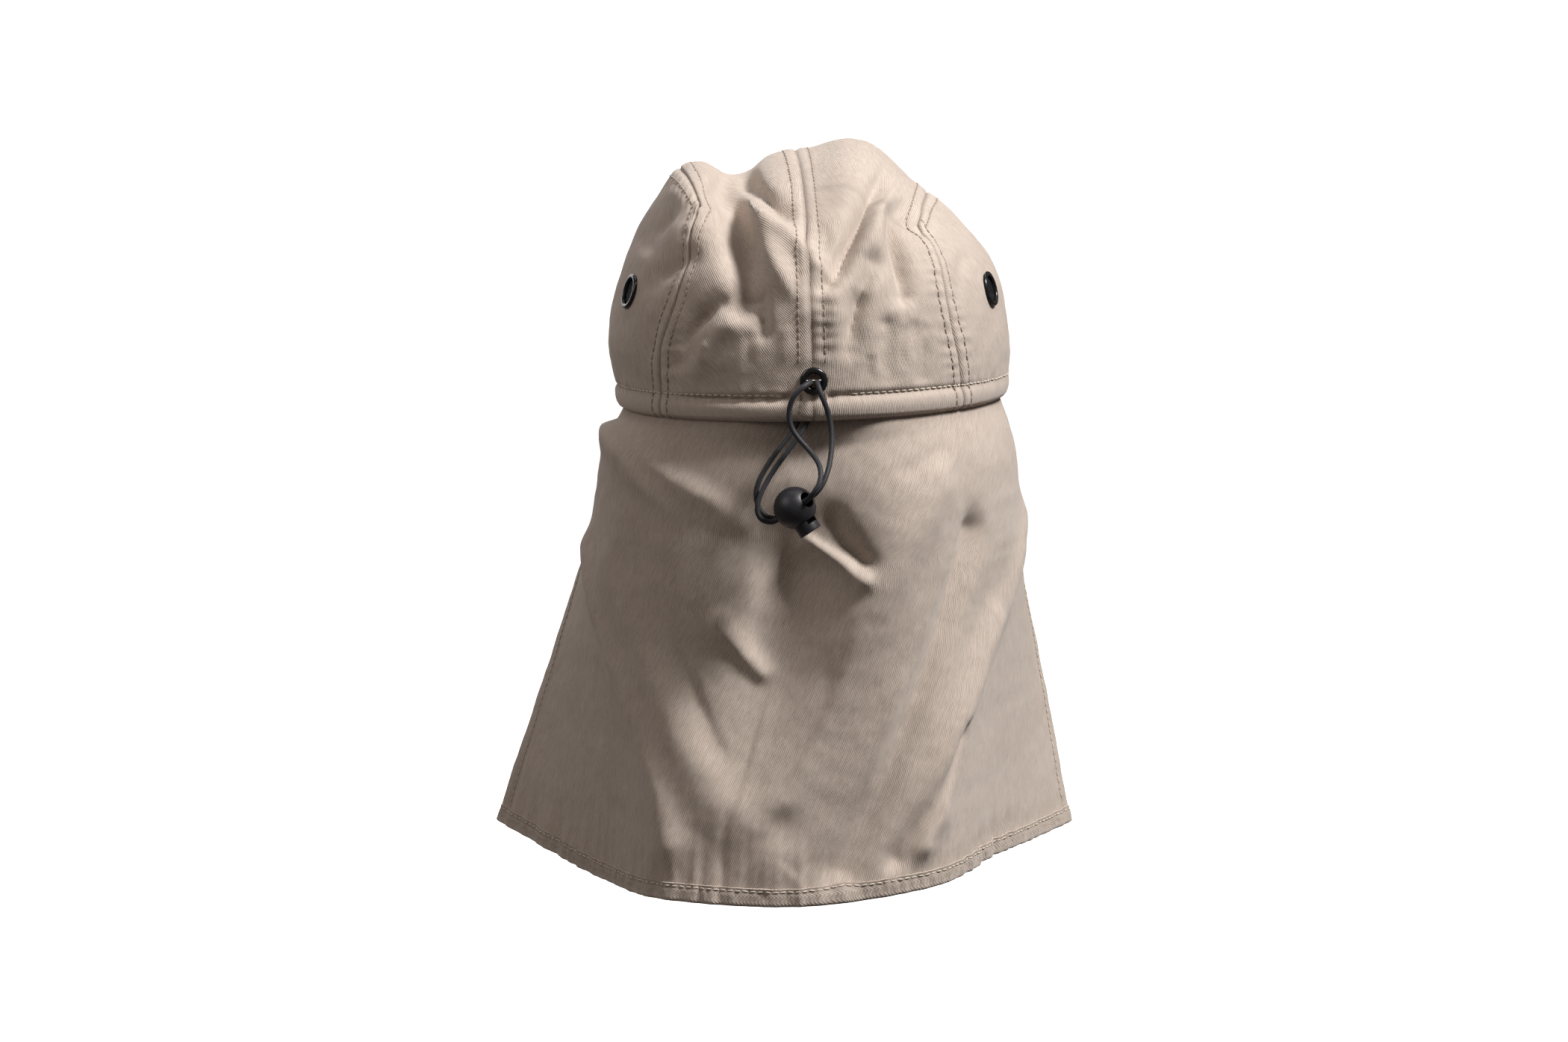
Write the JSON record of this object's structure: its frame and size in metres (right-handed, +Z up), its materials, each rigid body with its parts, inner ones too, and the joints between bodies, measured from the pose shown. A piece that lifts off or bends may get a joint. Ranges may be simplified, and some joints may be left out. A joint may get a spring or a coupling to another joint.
{
  "type": "legionnaire sun cap",
  "caption": "Soft cotton cap with a stiff peak in front, a long neck flap hanging from the band, mesh-covered side vents and an elastic cord with a sprung ball lock at the back.",
  "frame": {"origin": "the head seat: middle of the band's lower edge, where the cap sits on a head", "axes": "+Z up through the crown, +Y to the back of the head, +X to the wearer's left"},
  "size_m": [0.2364, 0.2817, 0.2889],
  "materials": {
    "crown_cotton": "matt twill",
    "flap_cotton": "matt twill",
    "binding_tape": "matt bias tape",
    "black_enamel": "glossy black",
    "black_mesh": "fine black net",
    "black_elastic": "braided round elastic",
    "black_plastic": "satin black"
  },
  "bodies": {
    "cap": {"crown_strip_left": "crown_cotton", "crown_strip_right": "crown_cotton", "side_panel_left": "crown_cotton", "side_panel_right": "crown_cotton", "band_facing": "crown_cotton", "flap": "flap_cotton", "flap_binding": "binding_tape", "peak": "crown_cotton", "eyelet": "black_enamel", "vent_ring_left": "black_enamel", "vent_ring_right": "black_enamel", "vent_mesh_left": "black_mesh", "vent_mesh_right": "black_mesh", "cord_left": "black_elastic", "cord_right": "black_elastic", "lock_ball": "black_plastic"},
    "button": {"lock_button": "black_plastic"}
  },
  "joints": [
    {"name": "button_press", "type": "slide", "parent": "cap", "child": "button", "axis": [0.5523, -0.0723, 0.8305], "range_m": [0, 0.0028], "stiffness_N_per_m": 1500, "springref_m": -0.002}
  ]
}
